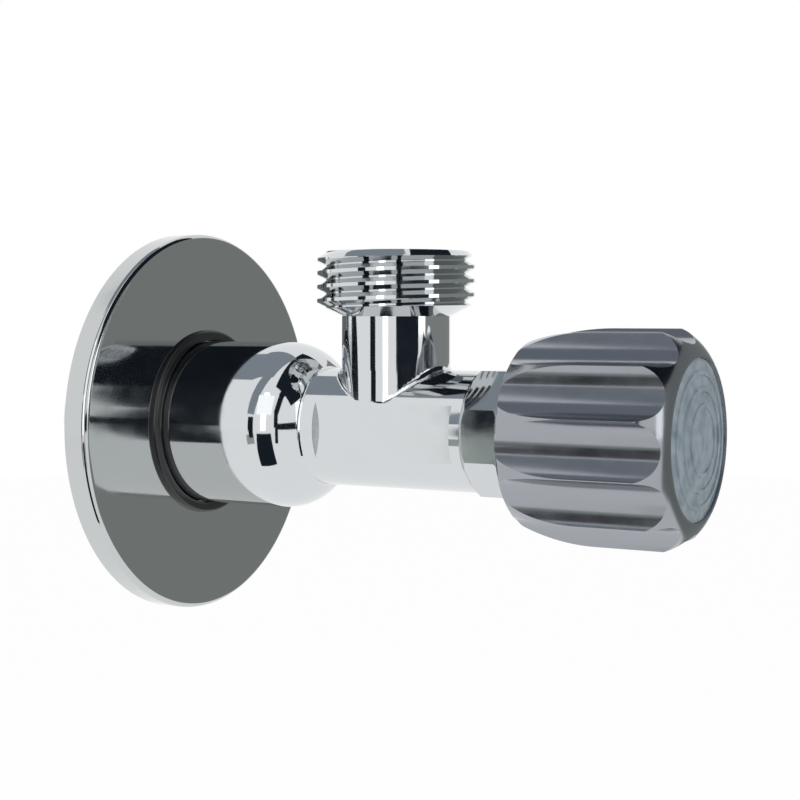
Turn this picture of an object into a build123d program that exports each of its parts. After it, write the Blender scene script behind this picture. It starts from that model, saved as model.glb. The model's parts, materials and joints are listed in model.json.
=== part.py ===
from build123d import *
import math
import os

# Angle valve for a wall connection: inlet thread into the wall, outlet thread upwards,
# fluted knob in front. Millimetres. The inlet, headwork and knob share the X axis.
# X = 0 is the wall plane, +X points out of the wall and +Z along the outlet.

# Pipe thread shared by both connections, as a plain cylinder at its major diameter
thread_r = 10.4775
thread_chamfer = 0.9

# Running clearances
fit_run = 0.05
fit_slide = 0.03
fit_hex = 0.05

# Inlet and collar
inlet_len = 14.8
inlet_bore_r = 6.3
collar_r = 11.35
collar_end_x = 17.6
shoulder_r = 7.4
root_fillet_r = 0.9

# Neck
neck_r = 7.9
neck_end_x = 48.0
neck_edge = 0.4
flat_dist = 7.0
flat_start_x = 26.0
flat_end_x = 46.2

# Seat and chamber
seat_x = 28.0
seat_bore_r = 3.8
seat_lip_w = 0.8
seat_lip_h = 1.2
seat_web = 2.8
chamber_r = 5.7

# Outlet branch
outlet_x = 34.25
outlet_top_z = 23.4
outlet_thread_len = 6.8
outlet_tube_r = 7.2
outlet_cone_h = 1.7
outlet_bore_r = 4.6
outlet_mouth_r = 6.8
outlet_mouth_depth = 8.5
outlet_fillet_r = 1.2

# Bonnet
bonnet_thread_r = 5.95
bonnet_thread_len = 6.6
bonnet_tip_len = 2.8
bonnet_tip_gap = 0.4
bonnet_af = 16.0
bonnet_sides = 8
bonnet_collar_len = 5.0
bonnet_collar_chamfer = 0.5
bonnet_nose_r = 5.0
bonnet_nose_len = 7.0
gasket_w = 0.85
gasket_t = 1.0

# Piston and seat washer
lift = 3.0
washer_r = 4.7
washer_t = 2.2
cup_wall = 0.6
cup_depth = 1.2
piston_head_t = 1.8
piston_r = 4.4
hex_af = 7.5
piston_guide_len = 2.3
piston_hex_len = 5.5
washer_screw_r = 1.5
washer_screw_len = 5.5
washer_screw_head_r = 2.3
washer_screw_head_h = 1.4
screw_slot_w = 0.7
screw_slot_depth = 0.7

# Spindle
spindle_thread_r = 2.5
spindle_r = 2.75
spindle_collar_r = 3.5
spindle_collar_t = 1.6
thrust_t = 0.7
square_af = 4.2
square_len = 6.2
o_ring_section_r = 0.48
groove_depth = 1.0
groove_w = 1.2
clip_t = 0.7
clip_r = 4.3
clip_slot_w = 3.0
clip_groove_depth = 0.6
stop_gap = 0.15

# Knob
knob_gap = 1.3
knob_r = 13.7
knob_back_r = 11.8
knob_back_fillet_r = 0.8
knob_bore_r = 7.0
knob_len = 21.9
knob_bevel = 3.4
knob_bevel_bulge = 0.5
knob_lip_w = 0.35
flute_count = 12
flute_r = 4.5
flute_depth = 2.1
flute_first_deg = 3.0
flare_len = 9.7
knob_web_t = 4.0
knob_hub_r = 4.9
knob_cavity_r = 9.0
cap_r = 10.0
cap_seat_depth = 1.6
cap_skirt_len = 2.0
cap_skirt_t = 1.0
cap_dome_h = 0.55
cap_edge_sink = 0.3
cap_ring_w = 0.5
cap_ring_h = 0.18
knob_screw_r = 1.5
knob_screw_len = 5.0
knob_screw_head_r = 2.9
knob_screw_head_h = 2.2
knob_screw_socket_af = 2.5

# Rosette and its ring
rosette_r = 26.4
rosette_depth = 3.5
rosette_sheet = 0.9
rosette_edge_r = 0.8
ring_wall = 0.5
ring_flange_w = 1.5
ring_flange_t = 0.8
ring_flange_edge_r = 0.5

# Positions that follow from the sizes above
bonnet_collar_end_x = neck_end_x + bonnet_collar_len
bonnet_nose_end_x = bonnet_collar_end_x + bonnet_nose_len
bonnet_bore_r = piston_r + fit_slide
hex_bore_af = hex_af + 2.0 * fit_hex
bonnet_tip_x = neck_end_x - bonnet_thread_len - bonnet_tip_len
head_x = seat_x + washer_t
head_end_x = head_x + piston_head_t
piston_round_end_x = bonnet_tip_x + piston_guide_len
piston_end_x = piston_round_end_x + piston_hex_len
hex_bore_start_x = piston_round_end_x + lift + 0.3
cup_r = washer_r + cup_wall
spindle_collar_x = piston_end_x + lift + 0.2
thrust_x = spindle_collar_x + spindle_collar_t
gland_x = thrust_x + thrust_t
gland_r = spindle_r + fit_run
piston_bore_r = spindle_thread_r + fit_run
piston_bore_end_x = head_x + washer_screw_len - washer_t + 1.0
spindle_tip_x = piston_bore_end_x + lift + 0.3
clip_x = bonnet_nose_end_x + stop_gap
square_x = clip_x + clip_t + 1.5
square_end_x = square_x + square_len
knob_back_x = bonnet_collar_end_x + knob_gap
knob_front_x = knob_back_x + knob_len
hub_end_x = square_end_x + 0.3
knob_web_end_x = square_x + knob_web_t
cap_seat_x = knob_front_x - cap_seat_depth


def turned(points):
    """Revolve a closed outline of (x, radius) points about the X axis."""
    face = make_face(Polyline(*[(x, r, 0) for x, r in points], close=True))
    return revolve(face, Axis.X, 360)


def rod(x0, x1, r):
    """Solid cylinder along X."""
    return turned([(x0, 0), (x1, 0), (x1, r), (x0, r)])


def tube(x0, x1, r_in, r_out):
    """Hollow cylinder along X."""
    return turned([(x0, r_in), (x1, r_in), (x1, r_out), (x0, r_out)])


def prism(x0, x1, af, sides, turn=0.0):
    """Regular prism along X with one face square to Y when turn is zero."""
    plane = Plane(origin=(x0, 0, 0), x_dir=(0, 1, 0), z_dir=(1, 0, 0))
    outer = af / 2.0 / math.cos(math.pi / sides)
    angle = 180.0 / sides + turn
    face = plane * Rot(0, 0, angle) * RegularPolygon(outer, sides)
    return extrude(face, x1 - x0)


def ring_x(x, major_r, section_r):
    """Round-section ring about the X axis."""
    return Pos(x, 0, 0) * Rot(0, 90, 0) * Torus(major_r, section_r)


def profile_solid(curves):
    """Revolve a closed chain of lines and curves about the X axis."""
    face = make_face([edge for curve in curves for edge in curve.edges()])
    return revolve(face, Axis.X, 360)


# Body: outer turned shape along X
shoulder_c = collar_r - shoulder_r
shoulder_dx = math.sqrt(shoulder_r ** 2 - (neck_r - shoulder_c) ** 2)
shoulder_end_x = collar_end_x + shoulder_dx
mid_a = math.radians(90.0) - 0.5 * math.asin(shoulder_dx / shoulder_r)
shoulder_mid = (
    collar_end_x + shoulder_r * math.cos(mid_a),
    shoulder_c + shoulder_r * math.sin(mid_a),
)
body_edges = [
    Polyline(
        (neck_end_x, 0, 0),
        (-inlet_len, 0, 0),
        (-inlet_len, thread_r - thread_chamfer, 0),
        (-inlet_len + thread_chamfer, thread_r, 0),
        (0, thread_r, 0),
        (0, collar_r, 0),
        (collar_end_x, collar_r, 0),
    ),
    ThreePointArc(
        (collar_end_x, collar_r, 0),
        (shoulder_mid[0], shoulder_mid[1], 0),
        (shoulder_end_x, neck_r, 0),
    ),
    Polyline(
        (shoulder_end_x, neck_r, 0),
        (neck_end_x - neck_edge, neck_r, 0),
        (neck_end_x, neck_r - neck_edge, 0),
        (neck_end_x, 0, 0),
    ),
]
body = profile_solid(body_edges)
root_edge = body.edges().filter_by(GeomType.CIRCLE).sort_by(
    lambda e: abs(e.center().X - shoulder_end_x) + abs(e.radius - neck_r)
)[0]
body = fillet(root_edge, root_fillet_r)

# Outlet branch: tube, cone and thread along +Z
outlet_thread_z = outlet_top_z - outlet_thread_len
outlet_points = [
    (0, 0, 0),
    (outlet_tube_r, 0, 0),
    (outlet_tube_r, 0, outlet_thread_z - outlet_cone_h),
    (thread_r, 0, outlet_thread_z),
    (thread_r, 0, outlet_top_z - thread_chamfer),
    (thread_r - thread_chamfer, 0, outlet_top_z),
    (0, 0, outlet_top_z),
]
branch = revolve(make_face(Polyline(*outlet_points, close=True)), Axis.Z, 360)
branch = Pos(outlet_x, 0, 0) * branch
body = body + branch
joint_edges = body.edges().filter_by(GeomType.BSPLINE)
body = fillet(joint_edges, outlet_fillet_r)

# Side flats on the neck
flat_len = flat_end_x - flat_start_x
flat_cut = Box(flat_len, neck_r, 2.0 * neck_r)
for side in (-1, 1):
    flat_y = side * (flat_dist + neck_r / 2.0)
    body = body - Pos(flat_start_x + flat_len / 2.0, flat_y, 0) * flat_cut

# Waterway: inlet bore, seat, chamber, headwork socket and outlet bore
inlet_end_x = seat_x - seat_lip_h - seat_web
lip_r = seat_bore_r + seat_lip_w
gasket_r = bonnet_thread_r + gasket_w
socket_x = neck_end_x - bonnet_thread_len
waterway = turned(
    [
        (-inlet_len - 1.0, 0),
        (neck_end_x + 1.0, 0),
        (neck_end_x + 1.0, gasket_r),
        (neck_end_x - gasket_t, gasket_r),
        (neck_end_x - gasket_t, bonnet_thread_r),
        (socket_x, bonnet_thread_r),
        (socket_x, chamber_r),
        (seat_x - seat_lip_h, chamber_r),
        (seat_x - seat_lip_h, lip_r),
        (seat_x, lip_r),
        (seat_x, seat_bore_r),
        (inlet_end_x, seat_bore_r),
        (inlet_end_x - (inlet_bore_r - seat_bore_r) * 0.6, inlet_bore_r),
        (-inlet_len - 1.0, inlet_bore_r),
    ]
)
body = body - waterway
outlet_cut = Cylinder(
    outlet_bore_r, outlet_top_z + 1.0, align=(Align.CENTER, Align.CENTER, Align.MIN)
)
mouth_cut = Cylinder(
    outlet_mouth_r, outlet_mouth_depth + 1.0, align=(Align.CENTER, Align.CENTER, Align.MIN)
)
mouth_z = outlet_top_z - outlet_mouth_depth
body = body - Pos(outlet_x, 0, 0) * outlet_cut - Pos(outlet_x, 0, mouth_z) * mouth_cut
valve_body = body

# Rosette: pressed sheet with a turned-back rim and a central hole
ring_in_r = collar_r + fit_run
ring_out_r = ring_in_r + ring_wall
rosette_hole_r = ring_out_r + fit_slide
rosette = turned(
    [
        (rosette_depth - rosette_sheet, rosette_hole_r),
        (rosette_depth, rosette_hole_r),
        (rosette_depth, rosette_r),
        (0, rosette_r),
        (0, rosette_r - rosette_sheet),
        (rosette_depth - rosette_sheet, rosette_r - rosette_sheet),
    ]
)
rim_edge = rosette.edges().filter_by(GeomType.CIRCLE).sort_by(
    lambda e: abs(e.center().X - rosette_depth) + abs(e.radius - rosette_r)
)[0]
wall_rosette = fillet(rim_edge, rosette_edge_r)

# Rubber ring: a neck in the rosette's hole and a rounded flange in front of it
ring_flange_r = ring_in_r + ring_flange_w
ring_front_x = rosette_depth + ring_flange_t
ring = turned(
    [
        (rosette_depth - rosette_sheet, ring_in_r),
        (ring_front_x, ring_in_r),
        (ring_front_x, ring_flange_r),
        (rosette_depth, ring_flange_r),
        (rosette_depth, ring_out_r),
        (rosette_depth - rosette_sheet, ring_out_r),
    ]
)
ring_edges = ring.edges().filter_by(GeomType.CIRCLE).filter_by(lambda e: e.center().X > rosette_depth + 0.1)
rosette_ring = fillet(ring_edges, ring_flange_edge_r)

# Headwork bonnet: threaded spigot, octagonal collar and nose
tip_r = bonnet_thread_r - bonnet_tip_gap
bonnet = turned(
    [
        (bonnet_tip_x, 0),
        (bonnet_nose_end_x, 0),
        (bonnet_nose_end_x, bonnet_nose_r - 0.4),
        (bonnet_nose_end_x - 0.4, bonnet_nose_r),
        (bonnet_collar_end_x, bonnet_nose_r),
        (neck_end_x, bonnet_nose_r),
        (neck_end_x, bonnet_thread_r),
        (socket_x, bonnet_thread_r),
        (socket_x, tip_r),
        (bonnet_tip_x, tip_r),
    ]
)
spanner_collar = prism(neck_end_x, bonnet_collar_end_x, bonnet_af, bonnet_sides)
corner_r = bonnet_af / 2.0 / math.cos(math.pi / bonnet_sides)
collar_turning = turned(
    [
        (neck_end_x, 0),
        (bonnet_collar_end_x, 0),
        (bonnet_collar_end_x, corner_r - bonnet_collar_chamfer),
        (bonnet_collar_end_x - bonnet_collar_chamfer, corner_r),
        (neck_end_x + bonnet_collar_chamfer, corner_r),
        (neck_end_x, corner_r - bonnet_collar_chamfer),
    ]
)
bonnet = bonnet + (spanner_collar & collar_turning)
bonnet = bonnet - rod(bonnet_tip_x - 1.0, hex_bore_start_x, bonnet_bore_r)
bonnet = bonnet - prism(hex_bore_start_x - 0.1, gland_x, hex_bore_af, 6)
headwork_bonnet = bonnet - rod(gland_x - 1.0, bonnet_nose_end_x + 1.0, gland_r)

bonnet_gasket = tube(neck_end_x - gasket_t, neck_end_x, bonnet_thread_r, gasket_r)

# Piston: washer cup, round sealed stem and hexagonal guide
o_ring_r = spindle_r - o_ring_section_r
piston_groove_x = piston_round_end_x - 0.5 - groove_w
piston_body = turned(
    [
        (head_x - cup_depth, washer_r + fit_slide),
        (head_x - cup_depth, cup_r),
        (head_end_x - 0.5, cup_r),
        (head_end_x, cup_r - 0.5),
        (head_end_x, piston_r),
        (piston_groove_x, piston_r),
        (piston_groove_x, piston_r - groove_depth),
        (piston_groove_x + groove_w, piston_r - groove_depth),
        (piston_groove_x + groove_w, piston_r),
        (piston_round_end_x, piston_r),
        (piston_round_end_x, 0),
        (head_x, 0),
        (head_x, washer_r + fit_slide),
    ]
)
piston_body = piston_body + prism(piston_round_end_x - 0.1, piston_end_x, hex_af, 6)
screw_end_x = seat_x + washer_screw_len
piston_body = piston_body - rod(head_x - 1.0, screw_end_x + 0.3, washer_screw_r)
piston = piston_body - rod(piston_bore_end_x, piston_end_x + 1.0, piston_bore_r)

piston_o_ring = ring_x(
    piston_groove_x + groove_w / 2.0, piston_r - o_ring_section_r, o_ring_section_r
)

seat_washer = tube(seat_x, head_x, washer_screw_r + fit_run, washer_r)

screw_head = turned(
    [
        (seat_x, 0),
        (seat_x, washer_screw_head_r),
        (seat_x - washer_screw_head_h + 0.5, washer_screw_head_r),
        (seat_x - washer_screw_head_h, washer_screw_head_r - 0.5),
        (seat_x - washer_screw_head_h, 0),
    ]
)
slot = Box(2.0 * screw_slot_depth, screw_slot_w, 4.0 * washer_screw_head_r)
washer_screw = screw_head + rod(seat_x, screw_end_x, washer_screw_r)
washer_screw = washer_screw - Pos(seat_x - washer_screw_head_h, 0, 0) * slot

# Spindle: threaded end, thrust collar, sealed shaft and square end
groove_root = spindle_r - groove_depth
gland_len = bonnet_nose_end_x - gland_x
rear_groove_x = gland_x + gland_len * 0.26
front_groove_x = gland_x + gland_len * 0.64
clip_root = spindle_r - clip_groove_depth
spindle_shaft = turned(
    [
        (spindle_tip_x, 0),
        (spindle_tip_x, spindle_thread_r - 0.5),
        (spindle_tip_x + 0.5, spindle_thread_r),
        (spindle_collar_x, spindle_thread_r),
        (spindle_collar_x, spindle_collar_r),
        (thrust_x, spindle_collar_r),
        (thrust_x, spindle_r),
        (rear_groove_x, spindle_r),
        (rear_groove_x, groove_root),
        (rear_groove_x + groove_w, groove_root),
        (rear_groove_x + groove_w, spindle_r),
        (front_groove_x, spindle_r),
        (front_groove_x, groove_root),
        (front_groove_x + groove_w, groove_root),
        (front_groove_x + groove_w, spindle_r),
        (clip_x, spindle_r),
        (clip_x, clip_root),
        (clip_x + clip_t, clip_root),
        (clip_x + clip_t, spindle_r),
        (square_x, spindle_r),
        (square_x, 0),
    ]
)
square_end = prism(square_x - 0.1, square_end_x, square_af, 4) & rod(
    square_x - 0.1, square_end_x, spindle_r
)
knob_screw_tip_x = hub_end_x - knob_screw_len
spindle = spindle_shaft + square_end
spindle = spindle - rod(knob_screw_tip_x - 0.3, square_end_x + 1.0, knob_screw_r)

spindle_o_ring_rear = ring_x(rear_groove_x + groove_w / 2.0, o_ring_r, o_ring_section_r)
spindle_o_ring_front = ring_x(front_groove_x + groove_w / 2.0, o_ring_r, o_ring_section_r)
thrust_washer = tube(thrust_x, gland_x, gland_r, spindle_collar_r)

clip_slot = Box(2.0 * clip_t + 2.0, clip_slot_w, clip_r * 2.0)
retaining_clip = tube(clip_x, clip_x + clip_t, clip_root, clip_r)
retaining_clip = retaining_clip - Pos(clip_x + clip_t / 2.0, 0, -clip_r) * clip_slot

# Knob: flared shell with a bulged bevel round its front
bevel_x = knob_front_x - knob_bevel
lip_r = cap_r + knob_lip_w
bevel_dr = knob_r - lip_r
bevel_len = math.hypot(knob_bevel, bevel_dr)
bevel_mid = (
    bevel_x + knob_bevel / 2.0 + knob_bevel_bulge * bevel_dr / bevel_len,
    lip_r + bevel_dr / 2.0 + knob_bevel_bulge * knob_bevel / bevel_len,
)
flare_end_x = knob_back_x + flare_len
flare_drop = knob_r - knob_back_r
flare_r = (flare_len ** 2 + flare_drop ** 2) / (2.0 * flare_drop)
flare_mid_r = knob_r - flare_r + math.sqrt(flare_r ** 2 - (flare_len / 2.0) ** 2)
knob_edges = [
    Line((flare_end_x, knob_r, 0), (bevel_x, knob_r, 0)),
    ThreePointArc((bevel_x, knob_r, 0), (bevel_mid[0], bevel_mid[1], 0), (knob_front_x, lip_r, 0)),
    Polyline(
        (knob_front_x, lip_r, 0),
        (knob_front_x, 0, 0),
        (knob_back_x, 0, 0),
        (knob_back_x, knob_back_r, 0),
    ),
    ThreePointArc(
        (knob_back_x, knob_back_r, 0),
        (flare_end_x - flare_len / 2.0, flare_mid_r, 0),
        (flare_end_x, knob_r, 0),
    ),
]
knob_shell = profile_solid(knob_edges)
back_edge = knob_shell.edges().filter_by(GeomType.CIRCLE).sort_by(
    lambda e: abs(e.center().X - knob_back_x) + abs(e.radius - knob_back_r)
)[0]
knob_shell = fillet(back_edge, knob_back_fillet_r)

# Flutes: wide round grooves, straight along the knob, that leave narrow ridges. They run out on
# the flare, where the ridges open into points, and on the front bevel.
flute_c = knob_r - flute_depth + flute_r
flute_cut = Pos(0, 0, flute_c) * rod(knob_back_x - 2.0, knob_front_x + 2.0, flute_r)
flute_cuts = []
for i in range(flute_count):
    angle = flute_first_deg + 90.0 + i * 360.0 / flute_count
    flute_cuts.append(Rot(angle, 0, 0) * flute_cut)
knob_shell = knob_shell - flute_cuts

# Knob: bore at the back, cavity in front with the hub and the cap's seat
knob_shell = knob_shell - rod(knob_back_x - 1.0, square_x, knob_bore_r)
knob_shell = knob_shell - tube(knob_web_end_x, knob_front_x + 1.0, knob_hub_r, knob_cavity_r)
knob_shell = knob_shell - rod(hub_end_x, knob_front_x + 1.0, knob_hub_r)
knob_shell = knob_shell - rod(cap_seat_x, knob_front_x + 1.0, cap_r)
knob = knob_shell - prism(square_x - 1.0, hub_end_x + 1.0, square_af + 2.0 * fit_slide, 4)

# Knob screw with a hexagon socket
knob_screw = rod(knob_screw_tip_x, hub_end_x, knob_screw_r)
knob_screw = knob_screw + turned(
    [
        (hub_end_x, 0),
        (hub_end_x, knob_screw_head_r),
        (hub_end_x + knob_screw_head_h - 0.4, knob_screw_head_r),
        (hub_end_x + knob_screw_head_h, knob_screw_head_r - 0.4),
        (hub_end_x + knob_screw_head_h, 0),
    ]
)
socket_floor_x = hub_end_x + knob_screw_head_h * 0.4
knob_screw = knob_screw - prism(
    socket_floor_x, hub_end_x + knob_screw_head_h + 1.0, knob_screw_socket_af, 6
)

# Index cap: shallow dome with plain raised rings and a skirt in the cavity
cap_out_r = cap_r - fit_slide
skirt_r = knob_cavity_r - fit_slide
cap_edge_x = knob_front_x - cap_edge_sink
dome_h = cap_dome_h + cap_edge_sink
dome_r = (cap_out_r ** 2 + dome_h ** 2) / (2.0 * dome_h)


def dome_x(r):
    """Height of the cap's dome at radius r."""
    return cap_edge_x + dome_h - dome_r + math.sqrt(dome_r ** 2 - r ** 2)


cap_edges = [
    Polyline(
        (dome_x(0), 0, 0),
        (cap_seat_x + 0.6, 0, 0),
        (cap_seat_x + 0.6, skirt_r - cap_skirt_t, 0),
        (cap_seat_x - cap_skirt_len, skirt_r - cap_skirt_t, 0),
        (cap_seat_x - cap_skirt_len, skirt_r, 0),
        (cap_seat_x, skirt_r, 0),
        (cap_seat_x, cap_out_r, 0),
        (cap_edge_x, cap_out_r, 0),
    ),
    ThreePointArc(
        (cap_edge_x, cap_out_r, 0),
        (dome_x(cap_out_r / 2.0), cap_out_r / 2.0, 0),
        (dome_x(0), 0, 0),
    ),
]
index_cap = profile_solid(cap_edges)
for share in (0.42, 0.62, 0.82):
    mid = cap_out_r * share
    index_cap = index_cap + tube(
        dome_x(mid) - 0.4,
        dome_x(mid) + cap_ring_h,
        mid - cap_ring_w / 2.0,
        mid + cap_ring_w / 2.0,
    )

pieces = {
    "valve_body": valve_body,
    "wall_rosette": wall_rosette,
    "rosette_ring": rosette_ring,
    "headwork_bonnet": headwork_bonnet,
    "bonnet_gasket": bonnet_gasket,
    "spindle": spindle,
    "thrust_washer": thrust_washer,
    "spindle_o_ring_rear": spindle_o_ring_rear,
    "spindle_o_ring_front": spindle_o_ring_front,
    "retaining_clip": retaining_clip,
    "piston": piston,
    "piston_o_ring": piston_o_ring,
    "seat_washer": seat_washer,
    "washer_screw": washer_screw,
    "knob": knob,
    "knob_screw": knob_screw,
    "index_cap": index_cap,
}

os.makedirs("parts", exist_ok=True)
for name, piece in pieces.items():
    piece.label = name
    export_step(piece, f"parts/{name}.step")
    print(f"{name} {piece.volume:.1f} mm3, {len(piece.solids())} solid")
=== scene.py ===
"""Chromed angle valve: true threads on the body, finishes on every piece, studio and camera."""

import json
import logging
import math
from dataclasses import dataclass, field
from enum import Enum

import bpy
from mathutils import Matrix, Quaternion, Vector

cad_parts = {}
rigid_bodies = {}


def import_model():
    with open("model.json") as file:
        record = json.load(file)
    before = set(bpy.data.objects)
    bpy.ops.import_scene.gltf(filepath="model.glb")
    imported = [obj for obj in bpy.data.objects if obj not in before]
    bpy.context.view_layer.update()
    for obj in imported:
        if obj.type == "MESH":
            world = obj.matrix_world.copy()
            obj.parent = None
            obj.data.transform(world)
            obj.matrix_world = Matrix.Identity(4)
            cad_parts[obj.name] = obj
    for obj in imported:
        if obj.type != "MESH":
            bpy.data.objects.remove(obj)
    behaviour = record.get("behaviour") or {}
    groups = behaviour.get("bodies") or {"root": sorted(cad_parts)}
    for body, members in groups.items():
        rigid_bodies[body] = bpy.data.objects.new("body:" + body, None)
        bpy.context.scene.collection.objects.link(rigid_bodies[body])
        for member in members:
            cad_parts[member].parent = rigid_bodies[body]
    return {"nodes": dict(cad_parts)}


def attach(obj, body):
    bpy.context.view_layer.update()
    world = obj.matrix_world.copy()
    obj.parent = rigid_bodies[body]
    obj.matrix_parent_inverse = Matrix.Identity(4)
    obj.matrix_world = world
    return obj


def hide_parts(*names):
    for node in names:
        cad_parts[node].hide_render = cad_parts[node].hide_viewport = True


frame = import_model()

MM: float = 0.001
WELD: float = 1e-7  # vertices nearer than this, in metres, are one
WAVE_BAND: float = 0.314  # a wave texture of scale 1 repeats every 0.314 units
CENTRE: Vector = Vector((0.035, 0.0, 0.0))  # middle of the valve, which lamps and cards face
THREAD_MM: float = 10.4775  # outer radius of both half-inch pipe threads
OUTLET_MM: float = 34.25  # distance of the outlet's axis along X
BRANCH_MM: float = 7.2  # radius of the outlet's branch below its thread
FLARE_MM: tuple[float, float] = (14.9, 16.6)  # heights between which the branch widens to its thread
SHOULDER_MM: tuple[float, float] = (17.6, 23.86)  # from the collar's end to the neck's beginning
LOG: logging.Logger = logging.getLogger("angle_valve")


class Run(Enum):
    """Direction in which a thread leaves the body."""

    WALL = "wall"
    UP = "up"


class Facing(Enum):
    """What a studio card shows to the metal."""

    DARK = "#1d232b"
    DUSK = "#8d959d"
    GREY = "#8b8f8d"
    MIST = "#a2aba6"
    BRIGHT = "#ffffff"


def linear(code: str) -> tuple[float, float, float, float]:
    """Turn an sRGB hex colour into linear RGBA.

    Args:
        code: Colour as #rrggbb.

    Returns:
        The four linear channels, opaque.
    """
    parts = [int(code[i:i + 2], 16) / 255.0 for i in (1, 3, 5)]
    red, green, blue = [c / 12.92 if c <= 0.04045 else ((c + 0.055) / 1.055) ** 2.4 for c in parts]
    return red, green, blue, 1.0


def add_node(tree: bpy.types.NodeTree, kind: str, links: dict[str | int, object] | None = None,
             **settings: object) -> bpy.types.Node:
    """Add one node with its settings, input values and incoming links.

    Args:
        tree: Node tree that takes the node.
        kind: Blender's node type.
        links: Input name or number to an output socket or to a plain value.
        settings: Attributes set on the node itself.

    Returns:
        The new node.
    """
    node = tree.nodes.new(kind)
    for name, value in settings.items():
        setattr(node, name, value)
    for name, value in (links or {}).items():
        if isinstance(value, bpy.types.NodeSocket):
            tree.links.new(value, node.inputs[name])
        else:
            node.inputs[name].default_value = value
    return node


def new_material(name: str) -> tuple[bpy.types.Material, bpy.types.NodeTree, bpy.types.Node]:
    """Start a node material.

    Args:
        name: Material name.

    Returns:
        The material, its tree and its Principled shader.
    """
    material = bpy.data.materials.new(name)
    material.use_nodes = True
    tree = material.node_tree
    return material, tree, tree.nodes["Principled BSDF"]


def deselect() -> None:
    """Leave nothing selected and no edit mode open."""
    if bpy.context.object and bpy.context.object.mode != "OBJECT":
        bpy.ops.object.mode_set(mode="OBJECT")
    bpy.ops.object.select_all(action="DESELECT")


def activate(obj: bpy.types.Object) -> None:
    """Make one object the only selected and active one.

    Args:
        obj: Object to work on.
    """
    deselect()
    obj.select_set(True)
    bpy.context.view_layer.objects.active = obj


def outward(azimuth_deg: float, elevation_deg: float) -> Vector:
    """Find the direction from the valve to a lamp, a card or the camera.

    Args:
        azimuth_deg: Turn about Z, from the valve's side towards the knob's front.
        elevation_deg: Rise above the level.

    Returns:
        The unit direction.
    """
    azimuth, elevation = math.radians(azimuth_deg), math.radians(elevation_deg)
    return Vector((math.sin(azimuth) * math.cos(elevation), -math.cos(azimuth) * math.cos(elevation),
                   math.sin(elevation)))


def seen_share(tree: bpy.types.NodeTree) -> bpy.types.NodeSocket:
    """Tell the rays that show the surroundings from those that light the valve.

    Args:
        tree: Node tree of the floor or of the world.

    Returns:
        A socket that is 1 for camera, mirror and glass rays and 0 for the rest.
    """
    path = add_node(tree, "ShaderNodeLightPath")
    camera, glossy = path.outputs["Is Camera Ray"], path.outputs["Is Glossy Ray"]
    mirror = add_node(tree, "ShaderNodeMath", {0: camera, 1: glossy}, operation="MAXIMUM")
    through = path.outputs["Is Transmission Ray"]
    glass = add_node(tree, "ShaderNodeMath", {0: mirror.outputs["Value"], 1: through},
                     operation="MAXIMUM")
    return glass.outputs["Value"]


@dataclass(frozen=True)
class Chrome:
    """Decorative chrome plate: a hard bright mirror with faint plating ripple and rub marks."""

    name: str
    colour: str
    gloss: float = 0.035
    rub: float = 0.05
    ripple_mm: float = 6.0
    ripple: float = 0.02
    depth_mm: float = 0.4
    smear_mm: float = 4.0
    smear_low: float = 0.35
    smear_high: float = 0.75

    def material(self) -> bpy.types.Material:
        """Make the plated metal.

        Returns:
            The finish.
        """
        material, tree, shader = new_material(self.name)
        place = add_node(tree, "ShaderNodeTexCoord")
        smear = add_node(tree, "ShaderNodeTexNoise",
                         {"Vector": place.outputs["Object"], "Scale": 1.0 / (self.smear_mm * MM),
                          "Detail": 4.0, "Roughness": 0.6})
        rough = add_node(tree, "ShaderNodeMapRange",
                         {"Value": smear.outputs["Fac"],
                          "From Min": self.smear_low, "From Max": self.smear_high,
                          "To Min": self.gloss, "To Max": self.gloss + self.rub})
        wave = add_node(tree, "ShaderNodeTexNoise",
                        {"Vector": place.outputs["Object"], "Scale": 1.0 / (self.ripple_mm * MM),
                         "Detail": 1.0})
        bump = add_node(tree, "ShaderNodeBump",
                        {"Height": wave.outputs["Fac"], "Strength": self.ripple,
                         "Distance": self.depth_mm * MM})
        shader.inputs["Base Color"].default_value = linear(self.colour)
        shader.inputs["Metallic"].default_value = 1.0
        tree.links.new(rough.outputs["Result"], shader.inputs["Roughness"])
        tree.links.new(bump.outputs["Normal"], shader.inputs["Normal"])
        return material


@dataclass(frozen=True)
class TurnedMetal:
    """Lathe-turned metal: fine tool rings along the turning axis and a slightly uneven tone."""

    name: str
    colour: str
    shade: str
    roughness: float = 0.28
    # Real tool rings lie about 0.1 mm apart, too fine to show, so they are drawn coarser
    ring_mm: float = 0.25
    depth_mm: float = 0.02
    relief: float = 0.15
    tone_mm: float = 3.0

    def material(self) -> bpy.types.Material:
        """Make the turned metal with rings across X.

        Returns:
            The finish.
        """
        material, tree, shader = new_material(self.name)
        place = add_node(tree, "ShaderNodeTexCoord")
        rings = add_node(tree, "ShaderNodeTexWave",
                         {"Vector": place.outputs["Object"], "Scale": WAVE_BAND / (self.ring_mm * MM),
                          "Distortion": 0.6, "Detail": 2.0}, wave_type="BANDS", bands_direction="X")
        tone = add_node(tree, "ShaderNodeTexNoise",
                        {"Vector": place.outputs["Object"], "Scale": 1.0 / (self.tone_mm * MM),
                         "Detail": 3.0})
        mix = add_node(tree, "ShaderNodeMix", {"Factor": tone.outputs["Fac"]}, data_type="RGBA")
        mix.inputs["A"].default_value = linear(self.colour)
        mix.inputs["B"].default_value = linear(self.shade)
        bump = add_node(tree, "ShaderNodeBump",
                        {"Height": rings.outputs["Fac"], "Strength": self.relief,
                         "Distance": self.depth_mm * MM})
        tree.links.new(mix.outputs["Result"], shader.inputs["Base Color"])
        tree.links.new(bump.outputs["Normal"], shader.inputs["Normal"])
        shader.inputs["Metallic"].default_value = 1.0
        shader.inputs["Roughness"].default_value = self.roughness
        return material


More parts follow.
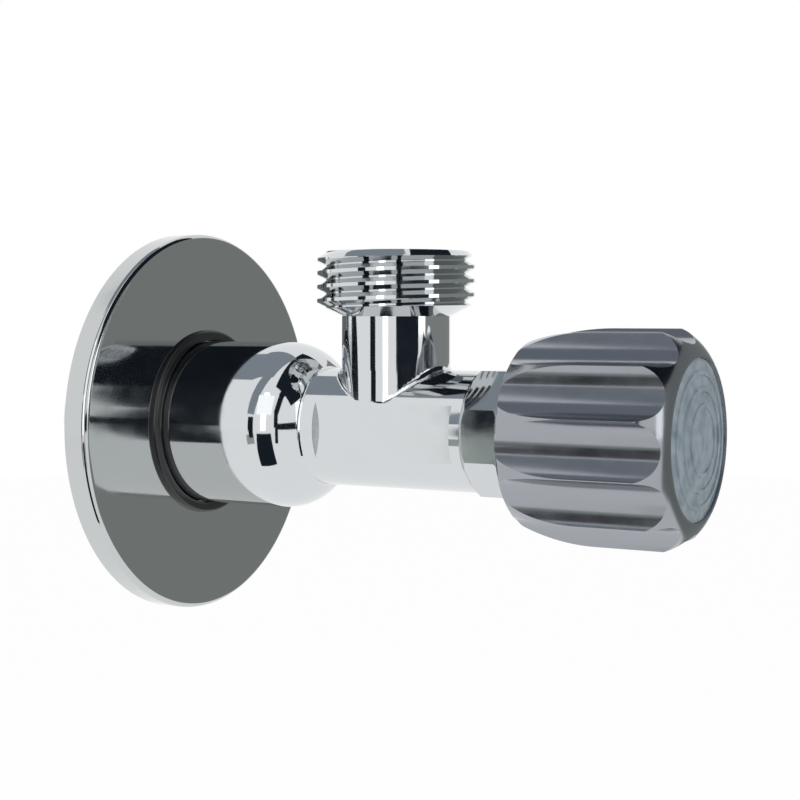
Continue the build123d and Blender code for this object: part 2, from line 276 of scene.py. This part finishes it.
@dataclass(frozen=True)
class Rubber:
    """Moulded nitrile rubber: near black, dull, with a fine bloom and a soft grain."""

    name: str
    colour: str = "#121314"
    bloom: str = "#232526"
    roughness: float = 0.42
    grain_mm: float = 0.35
    depth_mm: float = 0.03
    relief: float = 0.25
    cloud_mm: float = 5.0
    ior: float = 1.52

    def material(self) -> bpy.types.Material:
        """Make the rubber.

        Returns:
            The finish.
        """
        material, tree, shader = new_material(self.name)
        place = add_node(tree, "ShaderNodeTexCoord")
        grain = add_node(tree, "ShaderNodeTexNoise",
                         {"Vector": place.outputs["Object"], "Scale": 1.0 / (self.grain_mm * MM),
                          "Detail": 2.0})
        cloud = add_node(tree, "ShaderNodeTexNoise",
                         {"Vector": place.outputs["Object"], "Scale": 1.0 / (self.cloud_mm * MM),
                          "Detail": 3.0})
        mix = add_node(tree, "ShaderNodeMix", {"Factor": cloud.outputs["Fac"]}, data_type="RGBA")
        mix.inputs["A"].default_value = linear(self.colour)
        mix.inputs["B"].default_value = linear(self.bloom)
        bump = add_node(tree, "ShaderNodeBump",
                        {"Height": grain.outputs["Fac"], "Strength": self.relief,
                         "Distance": self.depth_mm * MM})
        tree.links.new(mix.outputs["Result"], shader.inputs["Base Color"])
        tree.links.new(bump.outputs["Normal"], shader.inputs["Normal"])
        shader.inputs["Roughness"].default_value = self.roughness
        shader.inputs["IOR"].default_value = self.ior
        return material


@dataclass(frozen=True)
class Plastic:
    """Moulded plastic: even colour with faint flow mottling under a smooth skin."""

    name: str
    colour: str
    mottle: str
    roughness: float
    coat: float = 0.0
    coat_roughness: float = 0.04
    mottle_mm: float = 2.0
    mottle_low: float = 0.3
    mottle_high: float = 0.7
    depth_mm: float = 0.05
    relief: float = 0.08

    def material(self) -> bpy.types.Material:
        """Make the plastic.

        Returns:
            The finish.
        """
        material, tree, shader = new_material(self.name)
        place = add_node(tree, "ShaderNodeTexCoord")
        flow = add_node(tree, "ShaderNodeTexNoise",
                        {"Vector": place.outputs["Object"], "Scale": 1.0 / (self.mottle_mm * MM),
                         "Detail": 4.0})
        span = add_node(tree, "ShaderNodeMapRange",
                        {"Value": flow.outputs["Fac"], "From Min": self.mottle_low,
                         "From Max": self.mottle_high})
        mix = add_node(tree, "ShaderNodeMix", {"Factor": span.outputs["Result"]}, data_type="RGBA")
        mix.inputs["A"].default_value = linear(self.colour)
        mix.inputs["B"].default_value = linear(self.mottle)
        bump = add_node(tree, "ShaderNodeBump",
                        {"Height": flow.outputs["Fac"], "Strength": self.relief,
                         "Distance": self.depth_mm * MM})
        tree.links.new(mix.outputs["Result"], shader.inputs["Base Color"])
        tree.links.new(bump.outputs["Normal"], shader.inputs["Normal"])
        shader.inputs["Roughness"].default_value = self.roughness
        shader.inputs["Coat Weight"].default_value = self.coat
        shader.inputs["Coat Roughness"].default_value = self.coat_roughness
        return material


def dress(node: str, material: bpy.types.Material) -> None:
    """Give a CAD node its finish.

    Args:
        node: Node name.
        material: Finish for all its faces.
    """
    obj = frame["nodes"][node]
    if not obj.material_slots:
        obj.data.materials.append(material)
    for slot in obj.material_slots:
        slot.material = material
    LOG.info("%s dressed with %s", node, material.name)


@dataclass(frozen=True)
class Round:
    """A turned surface of the body: a straight or coned wall, or a rounded shoulder.

    A wall has radius_mm at start_mm and widens by slope. A shoulder has a section radius above zero,
    and start_mm and radius_mm place the ring that its section is swung about.
    """

    run: Run
    radius_mm: float
    start_mm: float
    end_mm: float
    slope: float = 0.0
    section_mm: float = 0.0
    reach_mm: float = 0.03
    axis_clear_mm: float = 1.0

    def normal(self, point: Vector) -> Vector | None:
        """Find the true outward direction at a point of this surface.

        Args:
            point: Place in metres.

        Returns:
            The unit normal, or None where the point is off the surface.
        """
        if self.run is Run.WALL:
            along, axis = point.x / MM, Vector((1.0, 0.0, 0.0))
            across = Vector((0.0, point.y / MM, point.z / MM))
        else:
            along, axis = point.z / MM, Vector((0.0, 0.0, 1.0))
            across = Vector((point.x / MM - OUTLET_MM, point.y / MM, 0.0))
        if not self.start_mm - self.reach_mm <= along <= self.end_mm + self.reach_mm:
            return None
        if across.length < self.axis_clear_mm:
            return None
        out = across.normalized()
        if self.section_mm:
            arm = out * (across.length - self.radius_mm) + axis * (along - self.start_mm)
            return arm.normalized() if abs(arm.length - self.section_mm) < self.reach_mm else None
        wall = self.radius_mm + self.slope * (along - self.start_mm)
        if abs(across.length - wall) > self.reach_mm:
            return None
        return (out - axis * self.slope).normalized()


@dataclass
class PipeThread:
    """Half-inch pipe thread, cut as a right-hand groove of 55 degrees into a plain cylinder."""

    run: Run
    end: tuple[float, float, float]
    turns: int
    major_mm: float = THREAD_MM
    pitch_mm: float = 1.814
    depth_mm: float = 1.162
    clear_mm: float = 0.25
    root_mm: float = 0.16
    flank_deg: float = 27.5
    steps: int = 72

    def cutter(self) -> bpy.types.Object:
        """Make the groove as a closed helical solid.

        Returns:
            The cutter, with its place in its mesh.
        """
        deselect()
        bpy.ops.mesh.primitive_circle_add(vertices=4, radius=self.depth_mm * MM)
        tool = bpy.context.object
        tool.name = f"groove_{self.run.value}"
        root = self.major_mm - self.depth_mm
        rim = self.major_mm + self.clear_mm
        half = self.root_mm / 2.0 + (rim - root) * math.tan(math.radians(self.flank_deg))
        outline = ((root, -self.root_mm / 2.0), (rim, -half), (rim, half), (root, self.root_mm / 2.0))
        for vertex, (radius, rise) in zip(tool.data.vertices, outline):
            vertex.co = (radius * MM, 0.0, rise * MM)
        screw = tool.modifiers.new("helix", "SCREW")
        screw.axis = "Z"
        screw.screw_offset = self.pitch_mm * MM
        screw.iterations = self.turns
        screw.steps = self.steps
        screw.render_steps = self.steps
        bpy.ops.object.modifier_apply(modifier=screw.name)
        bpy.ops.object.mode_set(mode="EDIT")
        bpy.ops.mesh.select_all(action="SELECT")
        bpy.ops.mesh.remove_doubles(threshold=WELD)
        bpy.ops.mesh.fill_holes(sides=0)
        bpy.ops.mesh.select_all(action="SELECT")
        bpy.ops.mesh.normals_make_consistent(inside=False)
        bpy.ops.object.mode_set(mode="OBJECT")
        turn = Matrix.Identity(4)
        if self.run is Run.WALL:
            turn = Matrix.Rotation(math.radians(-90.0), 4, "Y")
        down = Matrix.Translation((0.0, 0.0, -self.turns * self.pitch_mm * MM))
        place = Matrix.Translation(Vector(self.end) * MM)
        tool.data.transform(place @ turn @ down)
        return tool


@dataclass
class Body:
    """The cast body, taken from its solid and given its two real threads."""

    inlet: PipeThread = field(default_factory=lambda: PipeThread(Run.WALL, (-15.4, 0.0, 0.0), 7))
    outlet: PipeThread = field(default_factory=lambda: PipeThread(Run.UP, (OUTLET_MM, 0.0, 24.0), 5))
    crease_deg: float = 24.0
    match_deg: float = 14.0
    sliver_mm: float = 0.01
    rounds: tuple[Round, ...] = (
        Round(Run.WALL, 11.35, 0.0, SHOULDER_MM[0]),  # collar
        Round(Run.WALL, 3.95, *SHOULDER_MM, section_mm=7.4),  # bullnose shoulder
        Round(Run.WALL, 7.9, SHOULDER_MM[1], 48.0),  # neck
        Round(Run.WALL, THREAD_MM, -13.9, 0.0),  # crests of the wall thread
        Round(Run.UP, BRANCH_MM, 4.0, FLARE_MM[0]),  # outlet branch
        Round(Run.UP, BRANCH_MM, *FLARE_MM,
              slope=(THREAD_MM - BRANCH_MM) / (FLARE_MM[1] - FLARE_MM[0])),  # flare under the thread
        Round(Run.UP, THREAD_MM, FLARE_MM[1], 22.6),  # crests of the outlet thread
    )
    # Bright chrome on polished brass: a clear mirror, broken only by the plate's faint ripple
    finish: Chrome = Chrome("bright_chrome_plate", "#d3d6d8")

    def true_normals(self, piece: bpy.types.Object) -> None:
        """Shade the turned surfaces by their true directions, so that the mirror shows no facets.

        Args:
            piece: The threaded body.
        """
        mesh = piece.data
        normals = [Vector(corner.vector) for corner in mesh.corner_normals]
        for face in mesh.polygons:
            for corner in face.loop_indices:
                point = mesh.vertices[mesh.loops[corner].vertex_index].co
                for surface in self.rounds:
                    true = surface.normal(point)
                    if true and true.angle(face.normal, math.pi) < math.radians(self.match_deg):
                        normals[corner] = true
                        break
        mesh.normals_split_custom_set(normals)

    def build(self) -> bpy.types.Object:
        """Copy the solid, cut both threads and put the piece in the node's place.

        Returns:
            The finished body.
        """
        source = frame["nodes"]["valve_body"]
        piece = bpy.data.objects.new("threaded_body", source.data.copy())
        bpy.context.scene.collection.objects.link(piece)
        activate(piece)
        bpy.ops.mesh.customdata_custom_splitnormals_clear()
        bpy.ops.object.mode_set(mode="EDIT")
        bpy.ops.mesh.select_all(action="SELECT")
        bpy.ops.mesh.remove_doubles(threshold=WELD)
        bpy.ops.object.mode_set(mode="OBJECT")
        for thread in (self.inlet, self.outlet):
            tool = thread.cutter()
            activate(piece)
            cut = piece.modifiers.new("thread", "BOOLEAN")
            cut.operation = "DIFFERENCE"
            cut.solver = "EXACT"
            cut.object = tool
            bpy.ops.object.modifier_apply(modifier=cut.name)
            bpy.data.objects.remove(tool, do_unlink=True)
        activate(piece)
        bpy.ops.object.mode_set(mode="EDIT")
        bpy.ops.mesh.select_all(action="SELECT")
        bpy.ops.mesh.remove_doubles(threshold=self.sliver_mm * MM)
        bpy.ops.mesh.dissolve_degenerate(threshold=self.sliver_mm * MM)
        bpy.ops.object.mode_set(mode="OBJECT")
        bpy.ops.object.shade_smooth_by_angle(angle=math.radians(self.crease_deg))
        even = piece.modifiers.new("even_faces", "WEIGHTED_NORMAL")
        even.mode = "FACE_AREA"
        even.keep_sharp = True
        bpy.ops.object.modifier_apply(modifier=even.name)
        self.true_normals(piece)
        piece.data.materials.clear()
        piece.data.materials.append(self.finish.material())
        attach(piece, "valve")
        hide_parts("valve_body")
        LOG.info("threaded_body: %d faces", len(piece.data.polygons))
        return piece


@dataclass
class Headwork:
    """Bonnet, seals and the closing piston inside the neck."""

    # Bright chrome on brass: a mirror with a little more rub than the body
    bonnet: Chrome = Chrome("bright_chrome_bonnet", "#cfd2d4", rub=0.07)
    # Pressed fibre board: dull, grey-brown and flecked
    gasket: Plastic = Plastic("pressed_fibre", "#6d6a64", "#4f4c47", 0.8, mottle_mm=0.4)
    # Bare brass off the lathe: yellow, with fine tool rings that scatter the highlight
    brass: TurnedMetal = TurnedMetal("turned_brass", "#c8a45a", "#b48f49")
    # Nitrile rubber: near black and dull
    seal: Rubber = Rubber("nitrile_seal")

    def dress(self) -> None:
        """Finish the fixed headwork and the closing pieces."""
        dress("headwork_bonnet", self.bonnet.material())
        dress("bonnet_gasket", self.gasket.material())
        brass, seal = self.brass.material(), self.seal.material()
        for node in ("piston", "washer_screw"):
            dress(node, brass)
        for node in ("piston_o_ring", "seat_washer"):
            dress(node, seal)


@dataclass
class Handle:
    """Spindle, knob and everything that turns with them."""

    # Satin chrome on a casting: greyer than the body, with softened reflections in the flutes
    knob: Chrome = Chrome("satin_chrome_knob", "#a0a3a9", gloss=0.15, rub=0.05, ripple=0.03)
    # Moulded plastic under a clear coat: cool grey, cloudy, with a sharp gloss
    cap: Plastic = Plastic("glossy_grey_cap", "#7f8d98", "#a3b0ba", 0.16, coat=0.6)
    # Bare brass off the lathe: yellow, with fine tool rings
    brass: TurnedMetal = TurnedMetal("turned_brass_spindle", "#c8a45a", "#b48f49")
    # Plated steel: pale grey and slightly cloudy
    steel: TurnedMetal = TurnedMetal("plated_steel", "#a9acae", "#8d9092", 0.32)
    # Slippery moulded plastic: off-white, half matt
    slip: Plastic = Plastic("white_slip_washer", "#e6e5e0", "#d8d7d1", 0.4)
    # Nitrile rubber: near black and dull
    seal: Rubber = Rubber("nitrile_spindle_seal")

    def dress(self) -> None:
        """Finish the turning pieces."""
        dress("knob", self.knob.material())
        dress("index_cap", self.cap.material())
        dress("spindle", self.brass.material())
        dress("thrust_washer", self.slip.material())
        steel, seal = self.steel.material(), self.seal.material()
        for node in ("retaining_clip", "knob_screw"):
            dress(node, steel)
        for node in ("spindle_o_ring_rear", "spindle_o_ring_front"):
            dress(node, seal)


@dataclass(frozen=True)
class Lathe:
    """A ring-shaped piece, spun about X from its outline of (x, radius) points in millimetres."""

    name: str
    outline: tuple[tuple[float, float], ...]
    steps: int = 192
    crease_deg: float = 32.0

    def build(self) -> bpy.types.Object:
        """Spin the outline into a closed ring.

        Returns:
            The ring, with its place in its mesh.
        """
        deselect()
        bpy.ops.mesh.primitive_circle_add(vertices=len(self.outline), radius=MM)
        ring = bpy.context.object
        ring.name = self.name
        for vertex, (along, radius) in zip(ring.data.vertices, self.outline):
            vertex.co = (along * MM, 0.0, radius * MM)
        bpy.ops.object.mode_set(mode="EDIT")
        bpy.ops.mesh.select_all(action="SELECT")
        bpy.ops.mesh.spin(steps=self.steps, angle=2.0 * math.pi, center=(0.0, 0.0, 0.0),
                          axis=(1.0, 0.0, 0.0))
        bpy.ops.mesh.select_all(action="SELECT")
        bpy.ops.mesh.remove_doubles(threshold=WELD)
        bpy.ops.mesh.normals_make_consistent(inside=False)
        bpy.ops.object.mode_set(mode="OBJECT")
        bpy.ops.object.shade_smooth_by_angle(angle=math.radians(self.crease_deg))
        LOG.info("%s: %d faces", self.name, len(ring.data.polygons))
        return ring


def quarter(centre: tuple[float, float], radius: float, start_deg: float, end_deg: float,
            parts: int = 10) -> list[tuple[float, float]]:
    """List the points of an arc in the (x, radius) plane.

    Args:
        centre: Arc centre.
        radius: Arc radius.
        start_deg: Angle of the first point, from the X direction.
        end_deg: Angle of the last point.
        parts: Number of steps.

    Returns:
        The points from start to end.
    """
    angles = [math.radians(start_deg + (end_deg - start_deg) * i / parts) for i in range(parts + 1)]
    return [(centre[0] + radius * math.cos(a), centre[1] + radius * math.sin(a)) for a in angles]


@dataclass
class RosetteSet:
    """Wall disc and its rubber ring, both spun anew with finer steps than the solids."""

    radius_mm: float = 26.4
    depth_mm: float = 3.5
    sheet_mm: float = 0.9
    edge_mm: float = 0.8
    hole_mm: float = 11.93
    ring_in_mm: float = 11.4
    ring_neck_mm: float = 11.9
    flange_mm: float = 12.9
    flange_t_mm: float = 0.8
    flange_edge_mm: float = 0.5
    guard_mm: float = 0.06
    # Chromed sheet: a flat mirror with the long, shallow ripple of pressed metal
    sheet: Chrome = Chrome("bright_chrome_sheet", "#c6c9c9", gloss=0.06, rub=0.05, ripple_mm=18.0,
                           ripple=0.01)
    # Moulded rubber, smoother than the seals, so that its round edge catches a soft light
    rubber: Rubber = Rubber("black_grip_ring", roughness=0.3)

    def disc_outline(self) -> tuple[tuple[float, float], ...]:
        """Draw the pressed disc: hole, face, rounded rim, turned-back edge.

        Returns:
            Its outline as (x, radius) points.
        """
        face, back, rim = self.depth_mm, self.depth_mm - self.sheet_mm, self.radius_mm - self.sheet_mm
        bend = quarter((face - self.edge_mm, self.radius_mm - self.edge_mm), self.edge_mm, 0.0, 90.0)
        return ((back, self.hole_mm), (face, self.hole_mm), (face, self.hole_mm + self.guard_mm),
                (face, self.radius_mm - self.edge_mm - self.guard_mm), *bend,
                (face - self.edge_mm - self.guard_mm, self.radius_mm), (0.0, self.radius_mm),
                (0.0, rim), (back, rim))

    def ring_outline(self) -> tuple[tuple[float, float], ...]:
        """Draw the rubber ring: neck in the hole, rounded flange on the face.

        Returns:
            Its outline as (x, radius) points.
        """
        front, edge = self.depth_mm + self.flange_t_mm, self.flange_edge_mm
        inner = quarter((front - edge, self.ring_in_mm + edge), edge, -90.0, 0.0)
        outer = quarter((front - edge, self.flange_mm - edge), edge, 0.0, 90.0)
        back = self.depth_mm - self.sheet_mm
        return ((back, self.ring_in_mm), *inner, *outer, (self.depth_mm, self.flange_mm),
                (self.depth_mm, self.ring_neck_mm), (back, self.ring_neck_mm))

    def build(self) -> None:
        """Spin both pieces and put them in their nodes' places."""
        disc = Lathe("pressed_rosette", self.disc_outline()).build()
        ring = Lathe("grip_ring", self.ring_outline()).build()
        pair = ((disc, "wall_rosette", "chrome_rosette", self.sheet.material()),
                (ring, "rosette_ring", "black_rubber", self.rubber.material()))
        for piece, node, slot, finish in pair:
            piece.data.materials.append(finish)
            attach(piece, "rosette")
            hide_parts(node)


@dataclass(frozen=True)
class Card:
    """One flat studio card, seen only by the metal."""

    name: str
    facing: Facing
    azimuth: float
    elevation: float
    distance: float
    width: float
    height: float
    roll: float = 0.0
    power: float = 1.0

    def build(self) -> None:
        """Stand the card up, facing the valve."""
        deselect()
        bpy.ops.mesh.primitive_plane_add(size=1.0)
        card = bpy.context.object
        card.name = self.name
        out = outward(self.azimuth, self.elevation)
        card.location = CENTRE + out * self.distance
        lean = Quaternion((0.0, 0.0, 1.0), math.radians(self.roll))
        card.rotation_euler = (out.to_track_quat("Z", "Y") @ lean).to_euler()
        card.scale = (self.width, self.height, 1.0)
        material, tree, shader = new_material(f"{self.name}_face")
        tree.nodes.remove(shader)
        glow = add_node(tree, "ShaderNodeEmission",
                        {"Color": linear(self.facing.value), "Strength": self.power})
        tree.links.new(glow.outputs["Emission"], tree.nodes["Material Output"].inputs["Surface"])
        card.data.materials.append(material)
        card.visible_camera = False
        card.visible_diffuse = False
        card.visible_shadow = False
        card.visible_transmission = False


@dataclass(frozen=True)
class SoftBox:
    """One soft studio lamp. The metal mirrors only a lamp that is marked for it."""

    name: str
    azimuth: float
    elevation: float
    distance: float
    power: float
    width: float
    height: float
    mirrored: bool = False

    def build(self) -> None:
        """Hang the lamp, facing the valve."""
        lamp = bpy.data.lights.new(self.name, "AREA")
        lamp.shape = "RECTANGLE"
        lamp.size = self.width
        lamp.size_y = self.height
        lamp.energy = self.power
        obj = bpy.data.objects.new(self.name, lamp)
        bpy.context.scene.collection.objects.link(obj)
        out = outward(self.azimuth, self.elevation)
        obj.visible_glossy = self.mirrored
        obj.location = CENTRE + out * self.distance
        obj.rotation_euler = out.to_track_quat("Z", "Y").to_euler()


@dataclass
class Studio:
    """Pale floor, soft light, cards for the metal to mirror, and the camera."""

    floor_z: float = -0.30
    floor_radius: float = 3.0
    floor_glow: float = 0.95
    floor_steps: int = 96
    light_level: float = 0.8
    seen_level: float = 1.0
    camera_azimuth: float = 29.4
    camera_elevation: float = 3.0
    camera_distance: float = 0.210
    aim_mm: tuple[float, float, float] = (45.5, 0.0, 0.0)
    slide_mm: tuple[float, float] = (-9.29, 4.08)
    focal_px: float = 1622.0
    picture_px: float = 800.0
    sensor_mm: float = 36.0
    clip_m: float = 0.01
    lamps: tuple[SoftBox, ...] = (
        SoftBox("key_box", -45.0, 38.0, 0.8, 0.75, 0.6, 0.5),
        SoftBox("strip_box", 7.0, 20.0, 0.85, 0.75, 0.16, 0.8, mirrored=True),
        SoftBox("top_box", -80.0, 72.0, 0.8, 1.3, 0.7, 0.7),
    )
    # Each card is one dark, grey or bright area for the chrome to mirror
    cards: tuple[Card, ...] = (
        Card("camera_side_card", Facing.DARK, 55.4, 0.0, 0.6, 0.475, 0.084),
        Card("wall_side_low_card", Facing.DARK, 33.3, 10.0, 0.6, 0.084, 0.24),
        Card("wall_side_foot_card", Facing.DARK, 34.9, -10.6, 0.6, 0.065, 0.233),
        Card("wall_side_mid_card", Facing.DARK, 39.6, 31.0, 0.6, 0.105, 0.31, -23.5),
        Card("wall_side_high_card", Facing.DARK, 59.5, 48.5, 0.6, 0.116, 0.344, -57.6),
        Card("low_front_card", Facing.DARK, 7.0, -31.0, 0.33, 0.189, 0.267),
        Card("bright_front_card", Facing.BRIGHT, 7.0, 29.0, 0.6, 0.344, 0.277, power=1.4),
        Card("bright_right_card", Facing.BRIGHT, 85.0, 12.7, 0.6, 0.169, 0.259, power=2.0),
        Card("right_card", Facing.GREY, 109.5, 0.0, 0.5, 0.296, 0.56),
        Card("right_back_card", Facing.GREY, 148.0, 0.0, 0.3, 0.40, 0.40),
        Card("upper_right_card", Facing.DARK, 105.0, 55.0, 0.7, 1.10, 0.70),
        Card("front_left_card", Facing.DARK, -19.5, -1.0, 0.8, 0.136, 0.36),
        Card("collar_card", Facing.DARK, -25.4, 3.56, 0.803, 0.0305, 0.22),
        Card("collar_low_card", Facing.MIST, -25.4, -5.7, 0.807, 0.0305, 0.04),
        Card("front_left_high_card", Facing.DUSK, -22.0, 43.0, 0.8, 0.24, 0.86),
        Card("front_left_low_card", Facing.MIST, -22.0, -17.0, 0.82, 0.24, 0.20),
        Card("ceiling_card", Facing.DUSK, -95.0, 72.0, 0.7, 0.60, 0.56),
    )

    def surroundings(self) -> None:
        """Set the even white surroundings, a little dimmer as light than as seen."""
        world = bpy.data.worlds.new("even_surroundings")
        bpy.context.scene.world = world
        world.use_nodes = True
        tree = world.node_tree
        level = add_node(tree, "ShaderNodeMapRange",
                         {"Value": seen_share(tree),
                          "To Min": self.light_level, "To Max": self.seen_level})
        back = tree.nodes["Background"]
        back.inputs["Color"].default_value = (1.0, 1.0, 1.0, 1.0)
        tree.links.new(level.outputs["Result"], back.inputs["Strength"])

    def floor(self) -> None:
        """Lay the pale floor below the valve."""
        deselect()
        bpy.ops.mesh.primitive_circle_add(vertices=self.floor_steps, radius=self.floor_radius,
                                          fill_type="NGON", location=(CENTRE.x, CENTRE.y, self.floor_z))
        floor = bpy.context.object
        floor.name = "pale_floor"
        # Matt white paper: it shows almost as white as the surroundings and keeps a trace of shadow
        material, tree, shader = new_material("white_paper_floor")
        shader.inputs["Base Color"].default_value = linear("#f2f2f1")
        shader.inputs["Roughness"].default_value = 0.9
        shader.inputs["Specular IOR Level"].default_value = 0.1
        share = add_node(tree, "ShaderNodeMath", {0: seen_share(tree), 1: self.floor_glow},
                         operation="MULTIPLY")
        glow = add_node(tree, "ShaderNodeEmission", {"Color": (1.0, 1.0, 1.0, 1.0), "Strength": 1.0})
        mix = add_node(tree, "ShaderNodeMixShader",
                       {0: share.outputs["Value"], 1: shader.outputs["BSDF"],
                        2: glow.outputs["Emission"]})
        tree.links.new(mix.outputs["Shader"], tree.nodes["Material Output"].inputs["Surface"])
        floor.data.materials.append(material)

    def camera(self) -> None:
        """Put the camera at the photograph's viewpoint."""
        back = outward(self.camera_azimuth, self.camera_elevation)
        turn = math.radians(self.camera_azimuth)
        right = Vector((math.cos(turn), math.sin(turn), 0.0))
        up = back.cross(right)
        aim = (Vector(self.aim_mm) + right * self.slide_mm[0] + up * self.slide_mm[1]) * MM
        lens = bpy.data.cameras.new("product_lens")
        lens.sensor_width = self.sensor_mm
        lens.lens = self.focal_px / self.picture_px * self.sensor_mm
        lens.clip_start = self.clip_m
        camera = bpy.data.objects.new("product_camera", lens)
        bpy.context.scene.collection.objects.link(camera)
        camera.location = aim + back * self.camera_distance
        camera.rotation_euler = back.to_track_quat("Z", "Y").to_euler()
        bpy.context.scene.camera = camera

    def build(self) -> None:
        """Set up the whole studio."""
        self.floor()
        for item in (*self.cards, *self.lamps):
            item.build()
        self.surroundings()
        self.camera()
        bpy.context.scene.view_settings.view_transform = "Standard"
        LOG.info("studio ready: %d cards, %d lamps", len(self.cards), len(self.lamps))


def main() -> None:
    """Build the valve's visual model and the studio around it."""
    logging.basicConfig(level=logging.INFO, format="%(name)s: %(message)s")
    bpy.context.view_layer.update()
    Body().build()
    Headwork().dress()
    Handle().dress()
    RosetteSet().build()
    Studio().build()


if __name__ == "__main__":
    main()
